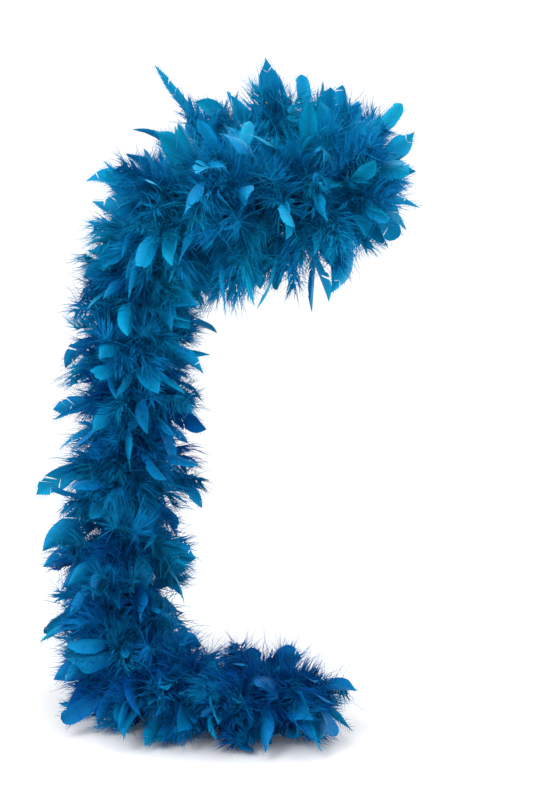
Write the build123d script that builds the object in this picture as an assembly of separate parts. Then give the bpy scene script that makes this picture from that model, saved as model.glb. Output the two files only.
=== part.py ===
"""Feather boa, draped: one turn round the neck, a long tail down to the floor.

The boa hangs as it is worn: a short end behind the left of the picture, a loop
round the neck, and a tail that falls from the shoulder and lies along the floor.
X runs to the right, Y away from the viewer, Z up. The origin is the middle of
the neck at shoulder height. Lengths are in millimetres.

The boa is a twisted core cord with feathers caught in it by their quills. Each
length of core that swings by itself is one body; its feathers are grouped in
bunches. A bunch is two nodes: the down, which is the soft mass of the feathers'
lower halves round the cord, and the plumes, which are its separate feathers.
"""
from build123d import *
import math
import os

# ---- driving sizes ------------------------------------------------------------
core_diameter = 5.0         # the two twisted plies together
down_diameter = 56.0        # the dense downy middle of the boa
feather_reach = 86.0        # core to tip of an ordinary feather
feather_half_width = 11.5   # of the widest vane
feather_thickness = 0.8
quill_width = 1.6
feather_pitch = 4.6         # from one quill to the next along the core
neck_radius = 58.0          # round space that the loop keeps open for the neck
floor_level = -613.0        # the floor, below shoulder height

# ---- smaller sizes and clearances ---------------------------------------------
core_clearance = 0.3        # the down stands off the core by this
quill_sink = 0.5            # how far a quill is caught in the core
down_gap = 1.0              # half the gap between two neighbouring downs
down_rounding = 1.3         # radius of the ball that rounds a down's ends, over its own radius
hinge_down_gap = 6.0        # from a bend to the nearest down
hinge_feather_gap = 20.0    # from a bend to the nearest feather
hinge_core_gap = 3.0        # from a bend to the square end of the next core
floor_clearance = 1.0       # feathers stop this far above the floor
least_reach = 36.0          # a feather with less room than this is left out
strand_spacing = 50.0       # stretches of core further apart than this share their room
strand_step = 12.0          # between the points of the core that room is measured to
bend_share = 0.45           # of the shorter run, used up by the arc at a corner
end_margin = 14.0           # bare core at each end of the boa, with whipping and knot
whipping_length = 8.0
whipping_inset = 1.0        # from the whipping to the end of the core
whipping_thickness = 0.9
knot_diameter = 11.0
knot_flat = 1.0             # how deep the ball is cut where the core enters it
knot_tail = 5.0             # cut end that stands out of the knot

# ---- how the feathers vary ----------------------------------------------------
golden_turn = 137.508       # degrees from one quill to the next round the core
length_swing = 0.14         # ordinary reach varies by this share either way
width_swing = 0.20
end_fan = 50.0              # degrees that the last feathers lean out past each end
fan_length = 75.0           # the stretch over which that lean grows

# Vane outline: share of the vane's length, share of its half width.
vane_start = 0.30           # bare quill below this share of the reach
vane_sides = [(0.0, 0.10), (0.12, 0.62), (0.40, 1.0), (0.72, 0.86)]
vane_tips = {
    "pointed": [(1.0, 0.0)],
    "rounded": [(0.93, 0.50), (1.0, 0.12)],
    "squared": [(0.97, 0.62), (1.0, 0.50)],
}
tip_order = ["pointed", "rounded", "pointed", "squared", "rounded"]

# ---- the lie of the core ------------------------------------------------------
# Each body's own corner points. A body starts and ends half way along the run
# that joins it to its neighbour, which is where the two bend against each other.
route = {
    "back_end": [
        (-194, 150, -190), (-192, 152, -128), (-186, 148, -66),
    ],
    "neck_loop": [
        (-179, 137, -8), (-158, 122, 48), (-114, 112, 92), (-58, 109, 121), (4, 108, 134),
        (60, 93, 128), (100, 52, 106), (112, -4, 78), (98, -58, 52), (58, -96, 35),
        (2, -112, 27), (-54, -107, 28), (-104, -86, 26), (-146, -62, 4),
    ],
    "upper_tail": [
        (-172, -48, -50), (-183, -40, -118), (-181, -37, -188), (-184, -38, -258),
    ],
    "lower_tail": [
        (-182, -43, -328), (-185, -53, -398), (-184, -78, -462), (-179, -122, -515),
        (-158, -168, -546),
    ],
    "floor_end": [
        (-116, -202, -557), (-60, -218, -558), (-2, -230, -558), (52, -240, -559),
    ],
}
bunches = {"back_end": 2, "neck_loop": 12, "upper_tail": 4, "lower_tail": 4, "floor_end": 3}

# Long stray feathers: the body, where along it, the way they point, their reach.
strays = [
    ("neck_loop", 0.17, (-0.55, 0.0, 0.83), 150),
    ("neck_loop", 0.36, (0.0, 0.2, 1.0), 132),
    ("neck_loop", 0.42, (0.2, 0.2, 1.0), 122),
    ("neck_loop", 0.47, (0.5, 0.3, 0.9), 108),
    ("neck_loop", 0.56, (1.0, 0.1, 0.5), 112),
    ("neck_loop", 0.66, (1.0, -0.3, -0.5), 112),
    ("neck_loop", 0.80, (0.2, -0.5, -0.9), 108),
    ("neck_loop", 0.86, (-0.1, -0.4, -0.9), 116),
    ("neck_loop", 0.95, (-0.9, -0.3, 0.5), 118),
    ("upper_tail", 0.22, (-0.8, -0.5, -0.3), 108),
    ("upper_tail", 0.80, (-1.0, -0.2, 0.0), 128),
    ("lower_tail", 0.10, (1.0, -0.2, 0.0), 108),
    ("lower_tail", 0.22, (-1.0, -0.3, 0.0), 120),
    ("lower_tail", 0.55, (-1.0, 0.0, 0.0), 124),
    ("floor_end", 0.45, (-0.1, -1.0, -0.3), 102),
]


def corner_points(body):
    """The body's corner points, with the bends that it shares with its neighbours."""
    names = list(route)
    place = names.index(body)
    points = [Vector(*point) for point in route[body]]
    if place > 0:
        points.insert(0, (Vector(*route[names[place - 1]][-1]) + points[0]) / 2)
    if place < len(names) - 1:
        points.append((points[-1] + Vector(*route[names[place + 1]][0])) / 2)
    return points


def cord_path(points):
    """Straight runs joined by arcs as large as the runs allow, and those arcs' radii."""
    radii = []
    for before, corner, after in zip(points, points[1:], points[2:]):
        run_in, run_out = corner - before, after - corner
        turn = math.radians(run_in.get_angle(run_out))
        radii.append(bend_share * min(run_in.length, run_out.length) / math.tan(turn / 2))
    return FilletPolyline(*points, radius=radii), radii


def stations(path, places):
    """Where the path is at each place, the way it runs, and a sideways direction.

    The sideways direction is carried along without turning about the path.
    """
    found = []
    side = None
    for place in places:
        point = path.position_at(place, position_mode=PositionMode.LENGTH)
        along = path.tangent_at(place, position_mode=PositionMode.LENGTH)
        if side is None:
            side = along.cross(Vector(0, 0, 1) if abs(along.Z) < 0.8 else Vector(0, 1, 0))
        side = (side - along * side.dot(along)).normalized()
        found.append((point, along, side))
    return found


def spread(count, step):
    """A number from -1 to 1 that hops about evenly as count goes up."""
    return 2 * ((count * step) % 1) - 1


def room_for(point, outward, across, half_width, strand):
    """How far a feather can reach from this point.

    It stops short of the floor, of the neck, and half way to any other stretch of the boa.
    """
    room = 10 * feather_reach
    if outward.Z < 0:
        above_floor = point.Z - floor_level - floor_clearance - half_width * abs(across.Z)
        room = above_floor / -outward.Z
    for other in strand:
        towards = other - point
        facing = outward.dot(towards)
        if towards.length > strand_spacing and facing > 0:
            half_way = towards.length / 2 - half_width
            room = min(room, half_way * towards.length / facing)
    flat_point = Vector(point.X, point.Y)
    flat_way = Vector(outward.X, outward.Y)
    if flat_way.length > 0.05 and flat_point.dot(flat_way) < 0:
        nearest = -flat_point.dot(flat_way) / flat_way.length ** 2
        keep_out = neck_radius + half_width
        miss = (flat_point + flat_way * nearest).length
        if miss < keep_out:
            room = min(room, nearest - math.sqrt(keep_out ** 2 - miss ** 2) / flat_way.length)
    return room


def feather(reach, half_width, tip):
    """One feather along X from the middle of the core: a flat vane on its quill."""
    start = core_diameter / 2 - quill_sink
    span = reach * (1 - vane_start)
    sides = [(reach * vane_start + share * span, width * half_width)
             for share, width in vane_sides + vane_tips[tip]]
    mirrored = [(x, -y) for x, y in reversed(sides) if y > 0]
    vane = extrude(make_face(Polyline(*sides, *mirrored, close=True)),
                   amount=feather_thickness / 2, both=True)
    quill_length = reach * (vane_start + 0.5 * (1 - vane_start)) - start
    quill = Box(quill_length, quill_width, quill_width, align=(Align.MIN, Align.CENTER, Align.CENTER))
    return (vane + Pos(start, 0, 0) * quill).solid()


def plumes(body, path, start, end, bunch_ends, strand):
    """The feathers from start to end along the path, sorted into the body's bunches.

    They stand at even steps along the core and a golden turn apart round it, so that each
    has its own room. Near a bend they lie flat across the core, out of each other's way.
    """
    count = int((end - start) / feather_pitch)
    places = [start + (number + 0.5) * (end - start) / count for number in range(count)]
    sorted_feathers = [[] for _ in bunch_ends]
    strays_left = [stray for stray in strays if stray[0] == body]
    for number, (point, along, side) in enumerate(stations(path, places)):
        place = places[number]
        turn = math.radians(number * golden_turn + 9 * spread(number, 0.371))
        outward = side * math.cos(turn) + along.cross(side) * math.sin(turn)
        from_first, from_last = place, path.length - place
        lean = 0.0
        if body == "floor_end":
            lean = end_fan * max(0.0, 1 - from_last / fan_length)
        if body == "back_end":
            lean = -end_fan * max(0.0, 1 - from_first / fan_length)
        outward = (outward * math.cos(math.radians(lean)) + along * math.sin(math.radians(lean)))
        half_width = feather_half_width * (1 - width_swing * (0.5 + 0.5 * spread(number, 0.613)))
        to_bend = min(place - start, end - place)
        flatness = min(1.0, to_bend / (2 * half_width))
        spin = math.radians(80 * flatness * spread(number, 0.289))
        square = outward.cross(along.cross(outward)).normalized()
        normal = square * math.cos(spin) + outward.cross(square) * math.sin(spin)
        reach = feather_reach * (1 + length_swing * spread(number, 0.447))
        for stray in strays_left:
            _, share, way, long_reach = stray
            near = abs(share * path.length - place) < 3 * feather_pitch
            if near and Vector(*way).normalized().dot(outward) > 0.80:
                reach = long_reach
                strays_left.remove(stray)
                break
        reach = min(reach, room_for(point, outward, normal.cross(outward), half_width, strand))
        if reach < least_reach:
            continue
        half_width *= min(1.0, reach / (0.75 * feather_reach))
        tip = tip_order[number % len(tip_order)]
        laid = Plane(origin=point, x_dir=outward, z_dir=normal) * feather(reach, half_width, tip)
        bunch = next(i for i, bunch_end in enumerate(bunch_ends) if place <= bunch_end)
        sorted_feathers[bunch].append(laid)
    for stray in strays_left:
        print("  no feather near the stray", stray)
    return sorted_feathers


def down(body_tube, path, start, end):
    """The soft mass of one bunch: a length of thick tube, rounded towards its ends."""
    middle, first, last = stations(path, [(start + end) / 2, start, end])
    ball = Pos(*middle[0]) * Sphere(down_rounding * down_diameter / 2)
    piece = body_tube & ball
    piece = split(piece, bisect_by=Plane(origin=first[0], z_dir=first[1]), keep=Keep.TOP)
    piece = split(piece, bisect_by=Plane(origin=last[0], z_dir=last[1]), keep=Keep.BOTTOM)
    return piece.solid()


def tube(path, outer_radius, bore_radius=0.0):
    """A round tube along the path."""
    profile = Circle(outer_radius)
    if bore_radius:
        profile = profile - Circle(bore_radius)
    return sweep(Plane(origin=path @ 0, z_dir=path % 0) * profile, path=path)


def core(path, starts_at_bend, ends_at_bend):
    """One length of core: it starts square, just past a bend, and ends in a ball on the next."""
    solid = tube(path, core_diameter / 2)
    if starts_at_bend:
        cutter = Box(4 * core_diameter, 4 * core_diameter, hinge_core_gap,
                     align=(Align.CENTER, Align.CENTER, Align.MIN))
        solid = solid - Plane(origin=path @ 0, z_dir=path % 0) * cutter
    if ends_at_bend:
        solid = solid + Pos(*(path @ 1)) * Sphere(core_diameter / 2)
    return solid.solid()


def whipping(end, away):
    """Thread wound tightly round the core, just short of its knot."""
    sleeve = Cylinder(core_diameter / 2 + whipping_thickness, whipping_length)
    sleeve = fillet(sleeve.edges(), whipping_thickness * 0.45)
    sleeve = sleeve - Cylinder(core_diameter / 2, whipping_length)
    return (Plane(origin=end - away * (whipping_inset + whipping_length / 2), z_dir=away) * sleeve).solid()


def knot(end, away):
    """The knot that stops the core from untwisting, with the cut tail past it."""
    radius = knot_diameter / 2
    ball = Pos(0, 0, radius - knot_flat) * Sphere(radius)
    tail = Pos(0, 0, knot_diameter - knot_flat) * Cylinder(core_diameter / 2, 2 * knot_tail)
    shape = split(ball + tail, bisect_by=Plane.XY, keep=Keep.TOP)
    return (Plane(origin=end, z_dir=away) * shape).solid()


os.makedirs("parts", exist_ok=True)
paths = {body: cord_path(corner_points(body)) for body in route}
strand = []
for path, radii in paths.values():
    steps = int(path.length / strand_step)
    strand += [path @ (step / steps) for step in range(steps)]

total_length = 0.0
feather_total = 0
for body, (path, radii) in paths.items():
    total_length += path.length
    print(f"{body}: {path.length:.1f} mm, arcs {[round(radius) for radius in radii]}")
    at_first = body == "back_end"
    at_last = body == "floor_end"

    core_solid = core(path, not at_first, not at_last)
    section = math.pi * core_diameter ** 2 / 4
    print(f"  core volume {core_solid.volume:.0f}, section x length {section * path.length:.0f}")
    export_step(core_solid, f"parts/core_{body}.step")

    down_start = end_margin if at_first else hinge_down_gap
    down_end = path.length - (end_margin if at_last else hinge_down_gap)
    pitch = (down_end - down_start) / bunches[body]
    bunch_ends = [down_start + pitch * (i + 1) for i in range(bunches[body])]
    bunch_ends[-1] = path.length
    body_tube = tube(path, down_diameter / 2, core_diameter / 2 + core_clearance)
    for i in range(bunches[body]):
        first = down_start + pitch * i + (down_gap if i else 0.0)
        last = down_start + pitch * (i + 1) - (down_gap if i < bunches[body] - 1 else 0.0)
        export_step(down(body_tube, path, first, last), f"parts/down_{body}_{i + 1}.step")

    feather_start = end_margin + 2 if at_first else hinge_feather_gap
    feather_end = path.length - (end_margin + 2 if at_last else hinge_feather_gap)
    for i, group in enumerate(plumes(body, path, feather_start, feather_end, bunch_ends, strand)):
        feather_total += len(group)
        export_step(Compound(children=group), f"parts/plumes_{body}_{i + 1}.step")

    if at_first:
        export_step(whipping(path @ 0, -(path % 0)), "parts/whipping_back.step")
        export_step(knot(path @ 0, -(path % 0)), "parts/knot_back.step")
    if at_last:
        export_step(whipping(path @ 1, path % 1), "parts/whipping_floor.step")
        export_step(knot(path @ 1, path % 1), "parts/knot_floor.step")

print(f"core length {total_length:.0f} mm, {feather_total} feathers")
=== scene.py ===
"""Looks of the feather boa: every feather with its vane, quill and down, on the two-ply core."""

import math

import bmesh
import bpy
import numpy as np
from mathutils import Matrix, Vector


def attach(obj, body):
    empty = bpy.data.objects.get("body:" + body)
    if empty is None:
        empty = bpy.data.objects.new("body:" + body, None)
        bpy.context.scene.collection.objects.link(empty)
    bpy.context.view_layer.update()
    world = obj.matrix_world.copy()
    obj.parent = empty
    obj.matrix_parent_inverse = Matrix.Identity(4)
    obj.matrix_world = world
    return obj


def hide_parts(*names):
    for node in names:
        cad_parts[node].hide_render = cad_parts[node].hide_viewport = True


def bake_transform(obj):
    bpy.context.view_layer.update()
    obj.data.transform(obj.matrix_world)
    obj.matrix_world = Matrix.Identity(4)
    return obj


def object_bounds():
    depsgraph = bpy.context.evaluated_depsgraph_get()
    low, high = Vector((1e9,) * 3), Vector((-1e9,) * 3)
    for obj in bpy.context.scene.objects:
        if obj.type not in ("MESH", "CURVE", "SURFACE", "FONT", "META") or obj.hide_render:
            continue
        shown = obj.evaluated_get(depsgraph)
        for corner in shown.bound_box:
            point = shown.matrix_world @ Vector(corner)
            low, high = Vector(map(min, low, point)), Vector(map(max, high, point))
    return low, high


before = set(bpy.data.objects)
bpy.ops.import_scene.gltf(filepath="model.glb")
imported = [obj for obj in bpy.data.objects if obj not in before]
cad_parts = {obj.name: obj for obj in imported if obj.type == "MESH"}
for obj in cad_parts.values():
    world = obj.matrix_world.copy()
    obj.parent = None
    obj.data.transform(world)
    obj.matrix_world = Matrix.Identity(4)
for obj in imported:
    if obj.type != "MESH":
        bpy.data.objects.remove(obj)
cad_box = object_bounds()

# ---- the core, as the CAD lays it, in metres -----------------------------------
ROUTE = {
    "back_end": [
        (-.194, .150, -.190), (-.192, .152, -.128), (-.186, .148, -.066),
    ],
    "neck_loop": [
        (-.179, .137, -.008), (-.158, .122, .048), (-.114, .112, .092), (-.058, .109, .121),
        (.004, .108, .134), (.060, .093, .128), (.100, .052, .106), (.112, -.004, .078),
        (.098, -.058, .052), (.058, -.096, .035), (.002, -.112, .027), (-.054, -.107, .028),
        (-.104, -.086, .026), (-.146, -.062, .004),
    ],
    "upper_tail": [
        (-.172, -.048, -.050), (-.183, -.040, -.118), (-.181, -.037, -.188), (-.184, -.038, -.258),
    ],
    "lower_tail": [
        (-.182, -.043, -.328), (-.185, -.053, -.398), (-.184, -.078, -.462),
        (-.179, -.122, -.515), (-.158, -.168, -.546),
    ],
    "floor_end": [
        (-.116, -.202, -.557), (-.060, -.218, -.558), (-.002, -.230, -.558), (.052, -.240, -.559),
    ],
}
BODIES = list(ROUTE)
PLY_TWIST = 0.013            # length of one whole turn of the two plies
FLOOR = -0.613
NECK_RADIUS = 0.058

# ---- the feathers ---------------------------------------------------------------
PITCH = 0.0016               # from one quill to the next along the core
GOLDEN_TURN = math.radians(137.508)
BEND_REACH = 0.036           # feathers this near a bend go into a mesh of their own at the bend
QUILL_STEPS = 12
QUILL_START = 0.002          # quills start this far from the middle of the core
NOMINAL = 0.11               # length that a feather's pattern is drawn for
MARGIN = 0.004               # quills turn aside this far off the neck and the floor
FLOOR_PILE = 0.009           # feathers that press on the floor lie within this of it
NECK_PILE = 0.010            # and round the neck within this of it
FLOOR_SKIN = 0.0008          # the lowest feathers lie about this far above the floor
FLOOR_GIVE = 0.96            # share of its depth below its pile that a barb is lifted by
QUILL_NECK_FOOT = -0.10      # quills turn aside from the neck's round space down to here
BARB_NECK_FOOT = -0.15       # and barbs keep out of it down to here
LINE_STEP = 0.0015           # between the places that a line is read at

# ---- one feather's vane and down, in shares of its length, or in metres across -----
VANE_END = 0.98
VANE_STEPS = 16
BARB_LEAN = (52, 32)         # degrees between barb and quill, at the foot and at the tip of the vane
RIPPLE = 0.0010
WEB = 1                      # the barb of a lock that is a short, broad web of many
WEB_SHARE = 0.66             # how far out that web reaches
WEB_WIDTH = 5.0              # times as wide as a single barb
TIP_SCATTER = 0.12           # of a lock's reach
LOCK_BARB = 0.0011           # width of a barb in a lock, of a loose one, and of a vane's barb end
LOOSE_BARB = 0.0008
FRAY_BARB = 0.0007
QUILL_TAPER = 0.85
FLUFF_FOOT, FLUFF_END = 0.08, 0.90
FLUFF_REACH = (0.032, 0.042)
VANED_REACH = (0.028, 0.036)

VANE_FACES, DOWN_FACES, QUILL_FACES = 0, 1, 2      # places of the three finishes in a feather mesh

random = np.random.default_rng(11)


# ---- dyes, painted light and finishes ---------------------------------------------
OWN_HUES = 7.3               # how many times the hue runs through its range from tone 0 to tone 1
HUES = (0.488, 0.510)        # greenest and bluest; 0.5 leaves the dye as it is
SHEEN_TINT = (0.0, 0.55, 1.0, 1)
GLOSS_TINT = (0.15, 0.7, 1.0, 1)


def shader_group(name, inputs, outputs):
    """A new node group with float and colour sockets, and its two end nodes."""
    group = bpy.data.node_groups.new(name, "ShaderNodeTree")
    for label, kind, value in inputs:
        socket = group.interface.new_socket(label, in_out="INPUT", socket_type=kind)
        socket.default_value = value
    for label, kind in outputs:
        group.interface.new_socket(label, in_out="OUTPUT", socket_type=kind)
    start = group.nodes.new("NodeGroupInput")
    end = group.nodes.new("NodeGroupOutput")
    return group, start, end


def maths(group, operation, *values):
    """A maths node: each value is a number, or the socket that gives it."""
    node = group.nodes.new("ShaderNodeMath")
    node.operation = operation
    feed(group, node.inputs, values)
    return node.outputs[0]


def ranged(group, value, lowest, low, high):
    """Low where the value is at its lowest, high where it is 1."""
    node = group.nodes.new("ShaderNodeMapRange")
    feed(group, node.inputs, (value, lowest, 1.0, low, high))
    return node.outputs["Result"]


def feed(group, sockets, values):
    """Link or set each socket in turn."""
    for socket, value in zip(sockets, values):
        if isinstance(value, bpy.types.NodeSocket):
            group.links.new(value, socket)
        else:
            socket.default_value = value


def dye_and_painted_light_group():
    """Dye that took unevenly: deep at the root, paler outward, in fine lines along the barbs; with painted
    light in it: paler on feathers higher up, and brighter at the thin outer ends of the barbs.

    The feather's own map gives the place of the barb's root along the quill, and how far out
    along the barb a point is.
    """
    group, start, end = shader_group(
        "dye_and_painted_light",
        [("Deep", "NodeSocketColor", (0, 0.1, 0.3, 1)), ("Pale", "NodeSocketColor", (0, 0.3, 0.5, 1)),
         ("Lines", "NodeSocketFloat", 70.0), ("Streak", "NodeSocketFloat", 0.25)],
        [("Color", "NodeSocketColor"), ("Height", "NodeSocketFloat")])
    nodes, links = group.nodes, group.links
    place = nodes.new("ShaderNodeUVMap")
    place.uv_map = "barbs"
    split = nodes.new("ShaderNodeSeparateXYZ")
    tone = nodes.new("ShaderNodeAttribute")
    tone.attribute_name = "tone"
    links.new(place.outputs["UV"], split.inputs[0])

    along, outward = split.outputs[0], split.outputs[1]

    lines = nodes.new("ShaderNodeTexNoise")
    lines.noise_dimensions = "2D"
    lines.inputs["Scale"].default_value = 1.0
    lines.inputs["Detail"].default_value = 2.0
    stretch = nodes.new("ShaderNodeCombineXYZ")
    links.new(maths(group, "MULTIPLY", along, start.outputs["Lines"]), stretch.inputs[0])
    links.new(outward, stretch.inputs[1])
    links.new(stretch.outputs[0], lines.inputs["Vector"])

    # Paleness: the feather's tone (its own random tone plus painted light from above that pales feathers
    # higher up), more towards the tip, less at the quill, broken by lines.
    rising = ranged(group, along, 0.1, -0.30, 0.22)
    streaked = maths(group, "MULTIPLY_ADD", lines.outputs["Fac"], start.outputs["Streak"], rising)
    paleness = maths(group, "ADD", streaked, tone.outputs["Fac"])
    paleness.node.use_clamp = True

    dye = nodes.new("ShaderNodeMix")
    dye.data_type = "RGBA"
    links.new(paleness, dye.inputs["Factor"])
    links.new(start.outputs["Deep"], dye.inputs["A"])
    links.new(start.outputs["Pale"], dye.inputs["B"])

    # Each feather leans a little to green or to blue; the outer ends of the barbs are brighter, painted light
    # shining through where they are thin.
    own = maths(group, "FRACT", maths(group, "MULTIPLY", tone.outputs["Fac"], OWN_HUES))
    shift = nodes.new("ShaderNodeHueSaturation")
    links.new(ranged(group, own, 0.0, *HUES), shift.inputs["Hue"])
    links.new(ranged(group, outward, 0.3, 1.0, 1.35), shift.inputs["Value"])
    links.new(dye.outputs["Result"], shift.inputs["Color"])
    links.new(shift.outputs["Color"], end.inputs["Color"])
    links.new(lines.outputs["Fac"], end.inputs["Height"])
    return group


DYE_AND_PAINTED_LIGHT = dye_and_painted_light_group()


def feather_material(name, deep, pale, roughness, lines, streak, sheen=0.0, bump=0.0):
    """One finish of the dyed feather, from the shared group of dye and painted light."""
    material = bpy.data.materials.new(name)
    material.use_nodes = True
    nodes, links = material.node_tree.nodes, material.node_tree.links
    shader = nodes["Principled BSDF"]
    dye = nodes.new("ShaderNodeGroup")
    dye.node_tree = DYE_AND_PAINTED_LIGHT
    dye.inputs["Deep"].default_value = (*deep, 1)
    dye.inputs["Pale"].default_value = (*pale, 1)
    dye.inputs["Lines"].default_value = lines
    dye.inputs["Streak"].default_value = streak
    links.new(dye.outputs["Color"], shader.inputs["Base Color"])
    shader.inputs["Roughness"].default_value = roughness
    shader.inputs["Sheen Weight"].default_value = sheen
    shader.inputs["Sheen Roughness"].default_value = 0.4
    shader.inputs["Sheen Tint"].default_value = SHEEN_TINT
    shader.inputs["Specular IOR Level"].default_value = 0.25
    shader.inputs["Specular Tint"].default_value = GLOSS_TINT
    if bump:
        relief = nodes.new("ShaderNodeBump")
        relief.inputs["Strength"].default_value = bump
        relief.inputs["Distance"].default_value = 0.0004
        links.new(dye.outputs["Height"], relief.inputs["Height"])
        links.new(relief.outputs["Normal"], shader.inputs["Normal"])
    return material


# Their colours carry painted light from that group: paler on higher feathers, brighter at the thin barb ends.
VANE = feather_material("dyed_vane", deep=(0.0, 0.058, 0.24), pale=(0.001, 0.235, 0.44),
                        roughness=0.5, lines=55.0, streak=0.5, sheen=0.1, bump=0.5)
DOWN = feather_material("dyed_down", deep=(0.0, 0.048, 0.22), pale=(0.001, 0.225, 0.44),
                        roughness=0.8, lines=60.0, streak=0.35, sheen=0.15)
QUILL = feather_material("dyed_quill", deep=(0.005, 0.12, 0.26), pale=(0.02, 0.26, 0.40),
                         roughness=0.35, lines=8.0, streak=0.2)


def cord_material():
    """Dyed cotton plies: fibres run along each ply, with a little fuzz of paler ones."""
    material = bpy.data.materials.new("dyed_cord")
    material.use_nodes = True
    nodes, links = material.node_tree.nodes, material.node_tree.links
    shader = nodes["Principled BSDF"]
    place = nodes.new("ShaderNodeUVMap")
    place.uv_map = "barbs"
    stretch = nodes.new("ShaderNodeMapping")
    stretch.inputs["Scale"].default_value = (220.0, 9.0, 1.0)
    links.new(place.outputs["UV"], stretch.inputs["Vector"])
    fibres = nodes.new("ShaderNodeTexNoise")
    fibres.inputs["Scale"].default_value = 1.0
    fibres.inputs["Detail"].default_value = 3.0
    links.new(stretch.outputs["Vector"], fibres.inputs["Vector"])
    dye = nodes.new("ShaderNodeValToRGB")
    dye.color_ramp.elements[0].color = (0.004, 0.05, 0.12, 1)
    dye.color_ramp.elements[1].color = (0.03, 0.22, 0.38, 1)
    links.new(fibres.outputs["Fac"], dye.inputs["Fac"])
    links.new(dye.outputs["Color"], shader.inputs["Base Color"])
    relief = nodes.new("ShaderNodeBump")
    relief.inputs["Strength"].default_value = 0.6
    relief.inputs["Distance"].default_value = 0.0003
    links.new(fibres.outputs["Fac"], relief.inputs["Height"])
    links.new(relief.outputs["Normal"], shader.inputs["Normal"])
    shader.inputs["Roughness"].default_value = 0.85
    shader.inputs["Sheen Weight"].default_value = 0.3
    return material


CORD = cord_material()


# ---- feather patterns: flat shapes along X, bent and placed later ------------------
def grid(bm, maps, steps_along, steps_across, place, finish):
    """A grid whose corner at shares (a, b) goes to place(a, b), mapped on the barbs by maps(a, b)."""
    uv = bm.loops.layers.uv["barbs"]
    made = bmesh.ops.create_grid(bm, x_segments=steps_along, y_segments=steps_across, size=0.5)
    shares = {v: (v.co.x + 0.5, v.co.y + 0.5) for v in made["verts"]}
    faces = {face for v in shares for face in v.link_faces}
    for face in faces:
        face.material_index = finish
        for loop in face.loops:
            loop[uv].uv = maps(*shares[loop.vert])
    for v, share in shares.items():
        v.co = place(*share)
    return made["verts"]


def quill(bm, width, tip):
    """The bare quill and its shaft: a slim three-sided taper from the core to near the tip."""
    def place(a, b):
        thick = width * (1 - QUILL_TAPER * a)
        around = 2 * math.pi * b
        return Vector((a * tip, thick * math.cos(around), thick * math.sin(around)))
    verts = grid(bm, lambda a, b: (a, 0.02), 7, 3, place, QUILL_FACES)
    bmesh.ops.remove_doubles(bm, verts=verts, dist=1e-7)


def vane_width(shape, a):
    """Half width of the vane at share a of its length, as a share of a leaf's widest.

    All but the blunt one are half waves that begin part way up, so the foot isn't a point.
    """
    if shape == "point":
        return math.sin(math.pi * (0.18 + 0.82 * a) ** 0.75) ** 1.25
    if shape == "blunt":
        return min(1.0, 0.35 + 1.6 * a) * math.sqrt(1.0 - 0.94 * a ** 5)
    if shape == "slim":
        return math.sin(math.pi * (0.12 + 0.88 * a) ** 0.9) ** 1.15 * 0.45
    return math.sin(math.pi * (0.16 + 0.84 * a)) ** 0.85


def vane_side(bm, side, start, half_width, shape, cup, openings):
    """One side of the vane: its barbs slant forward from the quill, in locks that part a little."""
    for first, last in zip(openings, openings[1:]):
        turn = math.radians(random.uniform(-10, 10))
        lift = random.uniform(-0.12, 0.12)
        trim = random.uniform(0.82, 1.05)

        def place(a, b, first=first, last=last, turn=turn, lift=lift, trim=trim):
            share = first + (last - first) * a
            lean = math.radians(BARB_LEAN[0] - (BARB_LEAN[0] - BARB_LEAN[1]) * share) + turn
            out = half_width * vane_width(shape, share) * trim * b
            forward = out / math.tan(lean) / NOMINAL * (1 - share) ** 0.7
            along = start + (VANE_END - start) * share + forward
            ripple = RIPPLE * math.sin(8 * share + 2 * side) * b * b
            return Vector((along, side * out, (cup * b + lift) * out + ripple))

        def maps(a, b, first=first, last=last):
            return start + (1 - start) * (first + (last - first) * a), b
        grid(bm, maps, max(3, round(VANE_STEPS * (last - first))), 3, place, VANE_FACES)


def lock(bm, root, side, reach, slant, lift, count, spacing, width):
    """A lock of down: fine barbs from neighbouring places on the quill, drawing into one wisp."""
    tip = Vector((root + math.cos(slant) * reach / NOMINAL,
                  side * math.sin(slant) * math.cos(lift) * reach,
                  math.sin(lift) * reach))
    for number in range(count):
        foot = Vector((root + (number - (count - 1) / 2) * spacing / NOMINAL, 0, 0))
        web = number == WEB
        end = foot.lerp(tip, WEB_SHARE if web else random.uniform(0.7, 1.15))
        end += Vector((random.normal(0, TIP_SCATTER) * reach / NOMINAL,
                       *(random.normal(0, TIP_SCATTER, 2) * reach)))
        shoulder = foot.lerp(end, 0.45) + Vector((-0.16 * reach / NOMINAL, side * 0.12 * reach, 0))
        facing = random.uniform(-0.9, 0.9)
        broad = width * (WEB_WIDTH if web else 1.0)

        def place(a, b, foot=foot, end=end, shoulder=shoulder, facing=facing, broad=broad):
            thick = broad * (1 - 0.9 * a ** 1.5) * (b - 0.5)
            spot = foot * (1 - a) ** 2 + shoulder * 2 * a * (1 - a) + end * a * a
            return spot + thick * Vector((math.sin(slant) / NOMINAL, -side * math.cos(slant), facing))
        grid(bm, lambda a, b: (root, a), 3, 1, place, DOWN_FACES)


def fray(bm, start, half_width, shape, cup, count):
    """Fine barb ends that stand out past the edge of the vane."""
    for number in range(count):
        share = (number + random.uniform(0.0, 1.0)) / count * 0.92
        side = 1 if number % 2 else -1
        out = half_width * vane_width(shape, share)
        root = Vector((start + (VANE_END - start) * share + out * 0.6 / NOMINAL,
                       side * out * 0.75, cup * out * 0.75))
        reach = random.uniform(0.005, 0.011)
        slant = random.uniform(0.35, 0.75)
        end = root + Vector((math.cos(slant) * reach / NOMINAL, side * math.sin(slant) * reach,
                             random.uniform(-0.002, 0.002)))

        def place(a, b, root=root, end=end, side=side, slant=slant):
            thick = FRAY_BARB * (1 - 0.9 * a) * (b - 0.5)
            return root.lerp(end, a) + thick * Vector((math.sin(slant) / NOMINAL, -side * math.cos(slant), 0))
        grid(bm, lambda a, b: (share, 0.6 + 0.4 * a), 2, 1, place, VANE_FACES)


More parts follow.
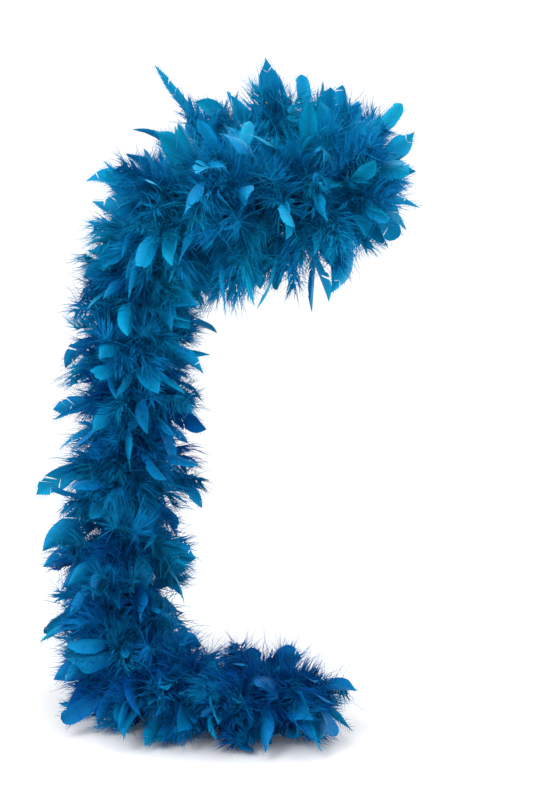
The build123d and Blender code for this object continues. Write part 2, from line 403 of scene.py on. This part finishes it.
def down_sides(bm, first, last, locks, count, reach, slants, cup):
    """The downy part of the feather: locks down both sides, wide apart at the root, forward at the tip."""
    spacing = (last - first) * NOMINAL / locks
    for number in range(locks):
        share = (number + 0.5) / locks
        for side in (1, -1):
            length = reach * (0.62 + 0.38 * math.sin(math.pi * min(1.0, 0.1 + 0.9 * share)))
            slant = slants[0] + (slants[1] - slants[0]) * share + random.normal(0, 0.16)
            lift = cup + random.normal(0, 0.42)
            lock(bm, first + (last - first) * share, side, length * random.uniform(0.75, 1.2),
                 slant, lift, count, spacing * 1.3 / count, LOCK_BARB)


def wisps(bm, first, last, count, reach):
    """Loose fine barbs that stand off every way."""
    for number in range(count):
        root = first + (last - first) * (number + random.uniform(0.0, 1.0)) / count
        lock(bm, root, 1 if number % 2 else -1, reach * random.uniform(0.6, 1.15),
             random.uniform(0.4, 1.4), random.normal(0.0, 0.9), 1, 0.0, LOOSE_BARB)


def pattern(kind):
    """One flat feather: unit length along X, across Y in metres, for bending on to its quill."""
    bm = bmesh.new()
    bm.loops.layers.uv.new("barbs")
    cup = random.uniform(0.15, 0.75) * random.choice((-1, 1))
    if kind == "fluff":
        quill(bm, width=0.0005, tip=0.85)
        down_sides(bm, FLUFF_FOOT, FLUFF_END, locks=18, count=6, reach=random.uniform(*FLUFF_REACH),
                   slants=(1.2, 0.35), cup=cup)
        wisps(bm, FLUFF_FOOT, FLUFF_END, count=70, reach=FLUFF_REACH[1])
    else:
        quill(bm, width=0.0008, tip=0.96)
        start = random.uniform(0.38, 0.50)
        half = random.uniform(0.0105, 0.0150)
        for side in (1, -1):
            parts = sorted(random.uniform(0.15, 0.9, random.integers(1, 4)))
            vane_side(bm, side, start, half * random.uniform(0.85, 1.1), kind, cup, [0, *parts, 1])
        fray(bm, start, half, kind, cup, count=26)
        down_sides(bm, 0.05, start + 0.10, locks=12, count=5, reach=random.uniform(*VANED_REACH),
                   slants=(1.25, 0.6), cup=cup)
        wisps(bm, 0.06, start + 0.2, count=34, reach=0.034)
    mesh = bpy.data.meshes.new("pattern")
    bm.to_mesh(mesh)
    bm.free()
    read = read_mesh(mesh)
    bpy.data.meshes.remove(mesh)
    return read


def read_mesh(mesh):
    """A mesh of quads as arrays: corners, faces, each face's finish and each corner's barb map."""
    corners = np.empty(len(mesh.vertices) * 3)
    mesh.vertices.foreach_get("co", corners)
    faces = np.empty(len(mesh.loops), int)
    mesh.loops.foreach_get("vertex_index", faces)
    finish = np.empty(len(mesh.polygons), int)
    mesh.polygons.foreach_get("material_index", finish)
    barbs = np.empty(len(mesh.loops) * 2)
    mesh.uv_layers["barbs"].data.foreach_get("uv", barbs)
    return corners.reshape(-1, 3), faces.reshape(-1, 4), finish, barbs.reshape(-1, 2)


PATTERNS = {
    "leaf": [pattern("leaf") for _ in range(5)],
    "point": [pattern("point") for _ in range(4)],
    "blunt": [pattern("blunt") for _ in range(3)],
    "slim": [pattern("slim") for _ in range(3)],
    "fluff": [pattern("fluff") for _ in range(4)],
}
# The kinds in the order in which they follow each other along the core.
MIX = ["leaf", "fluff", "point", "fluff", "leaf", "slim", "fluff", "leaf", "fluff", "point", "fluff",
       "leaf", "fluff", "point", "fluff", "blunt", "fluff", "point", "fluff", "slim"]


# ---- the core's line ---------------------------------------------------------------
def corner_points(body):
    """The body's corner points, with the bends that it shares with its neighbours."""
    place = BODIES.index(body)
    points = [Vector(point) for point in ROUTE[body]]
    if place > 0:
        points.insert(0, (Vector(ROUTE[BODIES[place - 1]][-1]) + points[0]) / 2)
    if place < len(BODIES) - 1:
        points.append((points[-1] + Vector(ROUTE[BODIES[place + 1]][0])) / 2)
    return points


def smooth_line(points):
    """The smooth line that the cord takes past its corner points, as an array of places."""
    curve = bpy.data.curves.new("line", "CURVE")
    curve.dimensions = "3D"
    spline = curve.splines.new("NURBS")
    spline.points.add(len(points) - 1)
    for corner, point in zip(spline.points, points):
        corner.co = (*point, 1)
    spline.order_u = 3
    spline.use_endpoint_u = True
    spline.resolution_u = 24
    carrier = bpy.data.objects.new("line", curve)
    mesh = bpy.data.meshes.new_from_object(carrier)
    line = np.array([v.co for v in mesh.vertices])
    bpy.data.objects.remove(carrier)
    bpy.data.curves.remove(curve)
    bpy.data.meshes.remove(mesh)
    return line


class Line:
    """A line of points, read by the length along it, with a sideways way that doesn't twist."""

    def __init__(self, points):
        steps = np.linalg.norm(np.diff(points, axis=0), axis=1)
        self.length = steps.sum()
        at = np.concatenate([[0], np.cumsum(steps)])
        count = int(self.length / LINE_STEP)
        even = np.linspace(0, self.length, count)
        self.step = even[1]
        self.places = np.stack([np.interp(even, at, points[:, k]) for k in range(3)], 1)
        ways = np.gradient(self.places, axis=0)
        self.ways = ways / np.linalg.norm(ways, axis=1)[:, None]
        side = np.cross(self.ways[0], (0, 0, 1) if abs(self.ways[0][2]) < 0.8 else (0, 1, 0))
        self.sides = []
        for way in self.ways:
            side = side - way * side.dot(way)
            side /= np.linalg.norm(side)
            self.sides.append(side)
        self.sides = np.array(self.sides)

    def at(self, place):
        """The place, the way along and the sideways way at a length along the line."""
        i = int(np.clip(place / self.step, 0, len(self.places) - 1))
        return self.places[i], self.ways[i], self.sides[i]


LINES = {body: Line(smooth_line(corner_points(body))) for body in BODIES}


# ---- laying a feather ----------------------------------------------------------------
def unit(way):
    """The same way at length 1."""
    return way / np.linalg.norm(way)


def quill_line(root, way, side, length, droop, curl, stack):
    """Where the quill runs: it droops, curls, and bends aside at the floor and at the neck."""
    places, ways, sides = [root], [unit(way)], [side]
    for step in range(QUILL_STEPS):
        share = (step + 0.5) / QUILL_STEPS
        way = unit(ways[-1] + (share * curl - np.array((0, 0, droop * share))) / QUILL_STEPS)
        ahead = places[-1] + way * length / QUILL_STEPS
        if ahead[2] < FLOOR + MARGIN + FLOOR_PILE * stack and way[2] < 0:      # run level
            way = unit(np.array((way[0], way[1], 0.02)) + 1e-4)
        from_neck = np.hypot(ahead[0], ahead[1])
        outward = np.array((ahead[0], ahead[1], 0)) / max(from_neck, 1e-6)
        if from_neck < NECK_RADIUS + MARGIN and way.dot(outward) < 0 and ahead[2] > QUILL_NECK_FOOT:
            way = unit(way - outward * way.dot(outward) * 1.1 + np.array((0, 0, 0.15)))
        places.append(places[-1] + way * length / QUILL_STEPS)
        side = side - way * side.dot(way)
        ways.append(way)
        sides.append(unit(side))
    return np.array(places), np.array(ways), np.array(sides)


def lay(shape, root, way, side, length, width, droop, curl, stack):
    """The corners of one feather: its pattern bent on to the line of its quill.

    Stack is its share of the depth that feathers pile up to where they press on floor or neck.
    """
    places, ways, sides = quill_line(root, way, side, length, droop, curl, stack)
    flat = shape[0]
    at = np.clip(flat[:, 0], 0, 1) * QUILL_STEPS
    low = np.minimum(at.astype(int), QUILL_STEPS - 1)
    part = (at - low)[:, None]
    way = ways[low] * (1 - part) + ways[low + 1] * part
    side = sides[low] * (1 - part) + sides[low + 1] * part
    place = places[low] * (1 - part) + places[low + 1] * part
    past = (flat[:, 0] - np.clip(flat[:, 0], 0, 1))[:, None] * length
    corners = place + way * past + side * flat[:, 1:2] * width + np.cross(way, side) * flat[:, 2:3] * width
    under = FLOOR + FLOOR_SKIN + FLOOR_PILE * stack - corners[:, 2]
    corners[:, 2] += np.where(under > 0, under * FLOOR_GIVE, 0)
    from_neck = np.hypot(corners[:, 0], corners[:, 1])
    kept = NECK_RADIUS + NECK_PILE * stack
    inside = (from_neck < kept) & (corners[:, 2] > BARB_NECK_FOOT)
    corners[inside, :2] *= (kept / np.maximum(from_neck[inside], 1e-6))[:, None]
    return corners


# In a feather's tile of the bake map, vane, down and quill each have a band across.
BANDS = (0.04, 0.60, 0.94)
BAND_WIDTHS = (0.50, 0.30, 0.03)


class Bunch:
    """Feathers gathered for one mesh."""

    def __init__(self, name):
        self.name = name
        self.feathers = []

    def add(self, shape, corners, tone):
        self.feathers.append((shape, corners, tone))

    def build(self):
        """One mesh object of all the feathers, each with its own tile of the bake map."""
        tiles = math.ceil(math.sqrt(len(self.feathers)))
        corners, faces, finish, barbs, bake, tones = [], [], [], [], [], []
        first = 0
        for number, (shape, places, tone) in enumerate(self.feathers):
            _, quads, slots, mapped = shape
            corners.append(places)
            faces.append(quads + first)
            finish.append(slots)
            barbs.append(mapped)
            tones.append(np.full(len(places), tone))
            first += len(places)
            slot = np.repeat(slots, 4)
            band = np.array(BANDS)[slot]
            wide = np.array(BAND_WIDTHS)[slot]
            u = (number % tiles + band + wide * mapped[:, 1]) / tiles
            v = (number // tiles + 0.04 + 0.92 * np.clip(mapped[:, 0], 0, 1)) / tiles
            bake.append(np.stack([u, v], 1))
        mesh = bpy.data.meshes.new(self.name)
        corners, faces = np.concatenate(corners), np.concatenate(faces)
        mesh.vertices.add(len(corners))
        mesh.vertices.foreach_set("co", corners.astype(np.float32).ravel())
        mesh.loops.add(faces.size)
        mesh.loops.foreach_set("vertex_index", faces.astype(np.int32).ravel())
        mesh.polygons.add(len(faces))
        mesh.polygons.foreach_set("loop_start", np.arange(0, faces.size, 4, dtype=np.int32))
        mesh.polygons.foreach_set("material_index", np.concatenate(finish).astype(np.int32))
        mesh.polygons.foreach_set("use_smooth", np.ones(len(faces), bool))
        mesh.update(calc_edges=True)
        mesh.uv_layers.new(name="OFBake").data.foreach_set("uv", np.concatenate(bake).ravel())
        mesh.uv_layers.new(name="barbs").data.foreach_set("uv", np.concatenate(barbs).ravel())
        tone = mesh.attributes.new("tone", "FLOAT", "POINT")
        tone.data.foreach_set("value", np.concatenate(tones).astype(np.float32))
        for material in (VANE, DOWN, QUILL):
            mesh.materials.append(material)
        thing = bpy.data.objects.new(self.name, mesh)
        bpy.context.scene.collection.objects.link(thing)
        return thing


BUNCHES = {"back_end": 2, "neck_loop": 12, "upper_tail": 4, "lower_tail": 4, "floor_end": 3}
END_BARE = 0.014             # core left bare at each end for whipping and knot
# How strongly quills bend down, how far they lean along the core, and how pale they are.
DROOP = {"back_end": 1.6, "neck_loop": 0.9, "upper_tail": 1.6, "lower_tail": 1.4, "floor_end": 0.7}
LEAN = {"back_end": -0.35, "neck_loop": 0.12, "upper_tail": 0.30, "lower_tail": 0.30, "floor_end": 0.15}
TONE = {"back_end": 0.47, "neck_loop": 0.47, "upper_tail": 0.40, "lower_tail": 0.53, "floor_end": 0.48}
PAINTED_LIGHT_RISE = 0.86             # painted light from above: paler by this for each metre of height
TONE_SCATTER = 0.17
LEAN_SCATTER = 0.32
TUFT_PITCH = 0.0125          # feathers draw together and part along the core, in soft tufts
TUFT_LEAN = 0.38
END_FAN = 0.07               # the last feathers lean out past an end over this stretch
BACK_HANG = 0.12             # over this stretch the loop's feathers still hang as the short end's do
NEAR_FLOOR = -0.47           # cord lower than this has feathers that lie down
ON_FLOOR = -0.50             # and lower than this, shorter ones on top
DOWNY_LENGTH = (0.080, 0.106)
VANED_LENGTH = (0.092, 0.124)
# The room that ordinary feathers are shortened to stay in: the CAD's, a little wider but no lower.
ROOM = np.array(cad_box) + 0.018 * np.array([[-1, -1, 0], [1, 1, 1]])
ROOM_TRIES = 4
SHORTENING = 1.3             # times what stood out of the room


def near(distance, reach):
    """1 at no distance, falling to 0 at this reach."""
    return max(0.0, 1 - distance / reach)


def core_lean(line, body, place, downy):
    """How far a feather leans along the core: its body's habit, its tuft, and how near an end it is."""
    lean = random.normal(LEAN[body] * (0.8 if downy else 1.8), LEAN_SCATTER)
    lean += TUFT_LEAN * math.sin(place / TUFT_PITCH)
    if body == "floor_end":
        lean += 0.3 * near(line.length - place, END_FAN)
    if body == "back_end":
        lean -= near(place, END_FAN)
    if body == "neck_loop":
        lean += (LEAN["back_end"] - LEAN["neck_loop"]) * near(place, BACK_HANG)
    return lean


def laid_down(way, body, root):
    """The way of a feather near the floor: flatter, and turned a little left and to the front."""
    if root[2] >= NEAR_FLOOR:
        return way
    low = min(1.0, (NEAR_FLOOR - root[2]) / 0.06)
    leftward = 0.4 if body == "lower_tail" else 0.1
    flatter = 1 - 0.6 * low * (way[2] > 0)
    return unit(way * np.array((1, 1, flatter)) - low * np.array((leftward, 0.5, 0)))


def at_front_of_neck(root):
    """Where the loop hangs over the chest."""
    return root[2] > -0.1 and root[1] < -0.05 and -0.14 < root[0] < 0.08


def over_shoulder(root):
    """Where the tail leaves the loop."""
    return -0.12 < root[2] < 0.06 and root[0] < -0.14


def fitted(body, root, way, length, droop):
    """The feather's way, length and droop, fitted to where it stands on the drape.

    They hang long at the front of the neck, and are short on the outside of the shoulder, on top
    near the floor, and to the right of the end on the floor.
    """
    if at_front_of_neck(root):
        droop += 1.2
        length *= 1.12 + 0.2 * max(0.0, -way[2])
    if over_shoulder(root):
        length *= 1 - 0.2 * max(0.0, -way[0])
    if body == "lower_tail":      # most of them fall a little to the left
        way = unit(way - np.array((0.2, 0, 0)))
        length *= 1.07
    if root[2] < ON_FLOOR:
        length *= 1 - 0.4 * max(0.0, way[2])
        droop += 2.0 * max(0.0, way[2])
    if body == "floor_end":
        length *= 1 - 0.3 * max(0.0, way[0])
    return way, length, droop


def feather_at(line, body, place, number):
    """The corners, pattern and tone of the ordinary feather at this place along the core."""
    root, along, side = line.at(place)
    turn = number * GOLDEN_TURN + random.uniform(-0.3, 0.3)
    outward = side * math.cos(turn) + np.cross(along, side) * math.sin(turn)
    kind = MIX[number % len(MIX)]
    downy = kind == "fluff"
    shape = PATTERNS[kind][number // len(MIX) % len(PATTERNS[kind])]
    lean = core_lean(line, body, place, downy)
    way = laid_down(outward * math.cos(lean) + along * math.sin(lean), body, root)
    across = unit(np.cross(way, along))
    spin = random.uniform(-1.4, 1.4)
    side = across * math.cos(spin) + np.cross(way, across) * math.sin(spin)
    length = random.uniform(*(DOWNY_LENGTH if downy else VANED_LENGTH))
    width = random.uniform(0.85, 1.15)
    curl = unit(random.normal(0, 1, 3)) * random.uniform(0.2, 2.0 if downy else 3.4)
    droop = DROOP[body] * random.uniform(0.4, 1.4) * (0.6 if downy else 1.3)
    way, length, droop = fitted(body, root, way, length, droop)
    stack = random.uniform(0, 1)
    for _ in range(ROOM_TRIES):
        corners = lay(shape, root + way * QUILL_START, way, side, length, width, droop, curl, stack)
        over = max((ROOM[0] - corners.min(0)).max(), (corners.max(0) - ROOM[1]).max())
        if over <= 0:
            break
        length -= SHORTENING * over
    # Painted light from above: feathers higher up are paler; the scatter is each feather's own tone.
    tone = float(np.clip(random.normal(TONE[body] + PAINTED_LIGHT_RISE * root[2], TONE_SCATTER), -0.2, 0.95))
    return shape, corners, tone


def dress(body):
    """All the ordinary feathers of one body, in its bunches and at its bends."""
    line = LINES[body]
    place_in_order = BODIES.index(body)
    bend_before, bend_after = place_in_order > 0, place_in_order < len(BODIES) - 1
    count = int((line.length - 2 * (0 if bend_before else END_BARE)) / PITCH)
    for number in range(count):
        place = (0 if bend_before else END_BARE) + number * PITCH
        if not bend_after and place > line.length - END_BARE:
            break
        shape, corners, tone = feather_at(line, body, place, number)
        if bend_before and place < BEND_REACH:
            bend_bunches[place_in_order - 1].add(shape, corners, tone)
        elif bend_after and place > line.length - BEND_REACH:
            bend_bunches[place_in_order].add(shape, corners, tone)
        else:
            share = min(0.9999, place / line.length)
            body_bunches[body][int(share * BUNCHES[body])].add(shape, corners, tone)


STRAY_SLACK = 1.03           # length over the straight way from core to tip
STRAY_RISE = 0.33            # it starts higher by this share of its droop, to end at its tip
STRAY_WIDTH = 1.1
# Long stray feathers: body, share along it, tip in metres, pattern, droop, tone.
STRAYS = [
    ("neck_loop", 0.27, (-.157, .095, .264), "slim", -0.5, 0.30),
    ("neck_loop", 0.36, (-.002, .095, .268), "point", 0.2, 0.35),
    ("neck_loop", 0.39, (.016, .095, .246), "slim", 0.3, 0.45),
    ("neck_loop", 0.42, (.050, .095, .242), "blunt", 0.2, 0.80),
    ("neck_loop", 0.47, (.087, .085, .214), "blunt", 0.3, 0.20),
    ("neck_loop", 0.52, (.135, .070, .196), "leaf", 0.9, 0.50),
    ("neck_loop", 0.56, (.190, .010, .178), "blunt", 0.3, 0.55),
    ("neck_loop", 0.66, (.205, -.040, .012), "slim", 0.9, 0.50),
    ("neck_loop", 0.95, (-.225, -.010, .100), "slim", 0.0, 0.40),
    ("neck_loop", 0.97, (-.236, -.040, .040), "slim", 0.0, 0.45),
    ("upper_tail", 0.10, (-.240, -.060, -.030), "slim", 0.2, 0.55),
    ("upper_tail", 0.98, (-.306, -.050, -.368), "leaf", 0.6, 0.45),
    ("lower_tail", 0.12, (-.296, -.060, -.440), "leaf", 0.5, 0.35),
    ("lower_tail", 0.70, (-.285, -.130, -.560), "slim", 1.2, 0.55),
    ("floor_end", 0.95, (.099, -.256, -.608), "slim", 0.3, 0.15),
    ("floor_end", 0.30, (-.056, -.318, -.606), "leaf", 0.8, 0.50),
    ("floor_end", 0.80, (.060, -.318, -.608), "slim", 0.3, 0.50),
    ("lower_tail", 0.97, (-.160, -.300, -.606), "point", 0.5, 0.20),
]


def add_stray(body, share, tip, kind, droop, tone, number):
    """A long feather from the core to a chosen tip."""
    line = LINES[body]
    root = line.at(share * line.length)[0]
    reach = np.array(tip) - root
    length = np.linalg.norm(reach) * STRAY_SLACK
    way = unit(reach) + np.array((0, 0, STRAY_RISE * droop))
    side = unit(np.cross(way, (0.15, 1.0, 0.2)))      # its flat side shows from the front
    shape = PATTERNS[kind][number % len(PATTERNS[kind])]
    corners = lay(shape, root, unit(way), side, length, STRAY_WIDTH, droop, np.zeros(3), stack=0.1)
    bunch = body_bunches[body][int(min(0.999, share) * BUNCHES[body])]
    bunch.add(shape, corners, tone)


body_bunches = {body: [Bunch(f"feathers_{body}_{i + 1}") for i in range(BUNCHES[body])] for body in BODIES}
bend_bunches = [Bunch(f"feathers_at_bend_{i + 1}") for i in range(len(BODIES) - 1)]
for body in BODIES:
    dress(body)
for number, stray in enumerate(STRAYS):
    add_stray(*stray, number)

for body in BODIES:
    for i, bunch in enumerate(body_bunches[body]):
        thing = bunch.build()
        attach(thing, body)
        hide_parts(f"down_{body}_{i + 1}", f"plumes_{body}_{i + 1}")
for i, bunch in enumerate(bend_bunches):
    thing = bunch.build()
    before, after = BODIES[i], BODIES[i + 1]
    bend, along, _ = LINES[after].at(0)
    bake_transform(thing)


# ---- core, whippings and knots -----------------------------------------------------------
PLY_RADIUS = 0.00135
PLY_OFFSET = 0.00115         # from the middle of the cord to the middle of a ply
ROUTE_EVERY = 8              # places of the line to one place of the cord's route
THREAD_RADIUS = 0.0004
WHIPPING_RADIUS = 0.0028
WHIPPING_TURNS = 10
WHIPPING_PITCH = 0.00075
WHIPPING_START = 0.0085      # from the end of the cord
KNOT_SIZE = 0.0042
KNOT_STRAND = 0.0016
KNOT_OUT = 0.005             # the knot's middle stands past the end of the cord by this


def swept(name, line, radius, sides, fibres, offset=0.0, twist=1.0):
    """A round strand along a line, or with an offset, two strands twisted round it.

    Fibres is the length of the fibre pattern that the strand carries, in metres.
    """
    bm = bmesh.new()
    bm.loops.layers.uv.new("barbs")
    count = len(line.places) - 1
    for ply in range(2 if offset else 1):
        def place(a, b, ply=ply):
            i = min(count, round(a * count))
            way, side = line.ways[i], line.sides[i]
            other = np.cross(way, side)
            phase = 2 * math.pi * (a * line.length / twist) + math.pi * ply if offset else 0.0
            centre = line.places[i] + offset * (side * math.cos(phase) + other * math.sin(phase))
            around = 2 * math.pi * b
            return Vector(centre + radius * (side * math.cos(around) + other * math.sin(around)))
        verts = grid(bm, lambda a, b: (a * fibres, b), count, sides, place, 0)
        bmesh.ops.remove_doubles(bm, verts=verts, dist=1e-6)
    bmesh.ops.recalc_face_normals(bm, faces=bm.faces)
    for face in bm.faces:
        face.smooth = True
    mesh = bpy.data.meshes.new(name)
    bm.to_mesh(mesh)
    bm.free()
    mesh.materials.append(CORD)
    thing = bpy.data.objects.new(name, mesh)
    bpy.context.scene.collection.objects.link(thing)
    return thing


for body in BODIES:
    line = LINES[body]
    thing = swept(f"core_plies_{body}", line, PLY_RADIUS, 8, line.length, PLY_OFFSET, PLY_TWIST)
    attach(thing, body)
    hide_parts(f"core_{body}")
    route = [tuple(place) for place in line.places[::ROUTE_EVERY]] + [tuple(line.places[-1])]
    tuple(route[0])


def helix_line(centre, way, side, radius, turns, rise):
    """A helix round an axis, as a line."""
    other = np.cross(way, side)
    angles = np.linspace(0, 2 * math.pi * turns, int(40 * turns))
    return Line(np.array([centre + radius * (side * math.cos(t) + other * math.sin(t))
                          + way * rise * t / (2 * math.pi) for t in angles]))


def knot_line(centre, way, side, size):
    """An overhand knot pulled fairly tight, as a line."""
    other = np.cross(way, side)
    angles = np.linspace(0.35, 2 * math.pi - 0.35, 90)
    return Line(np.array([
        centre + size * (side * (math.sin(t) + 2 * math.sin(2 * t)) / 3
                         + other * (math.cos(t) - 2 * math.cos(2 * t)) / 3
                         - way * math.sin(3 * t) / 2.2) for t in angles]))


for name, body, end in (("back", "back_end", 0), ("floor", "floor_end", 1)):
    line = LINES[body]
    tip, along, side = line.at(end * line.length)
    away = along if end else -along
    coil = helix_line(tip - away * WHIPPING_START, away, side,
                      WHIPPING_RADIUS, WHIPPING_TURNS, WHIPPING_PITCH)
    wound = swept(f"whipping_thread_{name}", coil, THREAD_RADIUS, 6, fibres=0.2)
    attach(wound, body)
    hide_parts(f"whipping_{name}")
    loops = knot_line(tip + away * KNOT_OUT, away, side, KNOT_SIZE)
    tied = swept(f"end_knot_{name}", loops, KNOT_STRAND, 10, fibres=0.1)
    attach(tied, body)
    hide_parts(f"knot_{name}")


# ---- studio ---------------------------------------------------------------------------------
FLOOR_GREY = (0.93, 0.93, 0.93, 1)
SURROUNDINGS = 1.1           # strength of the white all round
LAMPS = [                    # name, place, size in metres, power in watts
    ("key", (-1.3, -1.7, 1.5), 1.2, 30),
    ("fill", (1.6, -1.6, 0.5), 1.6, 8),
    ("top", (0.2, 0.3, 1.9), 1.4, 14),
]
LIT = Vector((-0.05, -0.05, -0.15))      # what the lamps point at
EYE = (0, -1.42, -0.154)
EYE_DOWN = 3.02              # degrees below level
LENS, SENSOR = 45.8, 36


def studio():
    """A plain pale floor, white surroundings and large soft lights."""
    floor_bm = bmesh.new()
    bmesh.ops.create_grid(floor_bm, x_segments=1, y_segments=1, size=6)
    bmesh.ops.translate(floor_bm, verts=floor_bm.verts, vec=(0, 0, FLOOR - 0.001))
    floor_mesh = bpy.data.meshes.new("studio_floor")
    floor_bm.to_mesh(floor_mesh)
    floor_bm.free()
    material = bpy.data.materials.new("pale_floor")
    material.use_nodes = True
    shader = material.node_tree.nodes["Principled BSDF"]
    shader.inputs["Base Color"].default_value = FLOOR_GREY
    shader.inputs["Roughness"].default_value = 0.9
    floor_mesh.materials.append(material)
    floor = bpy.data.objects.new("studio_floor", floor_mesh)
    bpy.context.scene.collection.objects.link(floor)

    world = bpy.data.worlds.new("studio")
    world.use_nodes = True
    world.node_tree.nodes["Background"].inputs["Color"].default_value = (1, 1, 1, 1)
    world.node_tree.nodes["Background"].inputs["Strength"].default_value = SURROUNDINGS
    bpy.context.scene.world = world

    for name, place, size, power in LAMPS:
        lamp = bpy.data.lights.new(name, "AREA")
        lamp.size = size
        lamp.energy = power
        holder = bpy.data.objects.new(name, lamp)
        holder.location = place
        aim = LIT - Vector(place)
        holder.rotation_euler = aim.to_track_quat("-Z", "Y").to_euler()
        bpy.context.scene.collection.objects.link(holder)


def camera():
    """Level with the waist, looking slightly down, about 1.4 m away."""
    eye = bpy.data.cameras.new("camera")
    eye.sensor_width = SENSOR
    eye.lens = LENS
    holder = bpy.data.objects.new("camera", eye)
    holder.location = EYE
    holder.rotation_euler = (math.radians(90 - EYE_DOWN), 0, 0)
    bpy.context.scene.collection.objects.link(holder)
    bpy.context.scene.camera = holder


studio()
camera()
bpy.context.scene.view_settings.view_transform = "Standard"
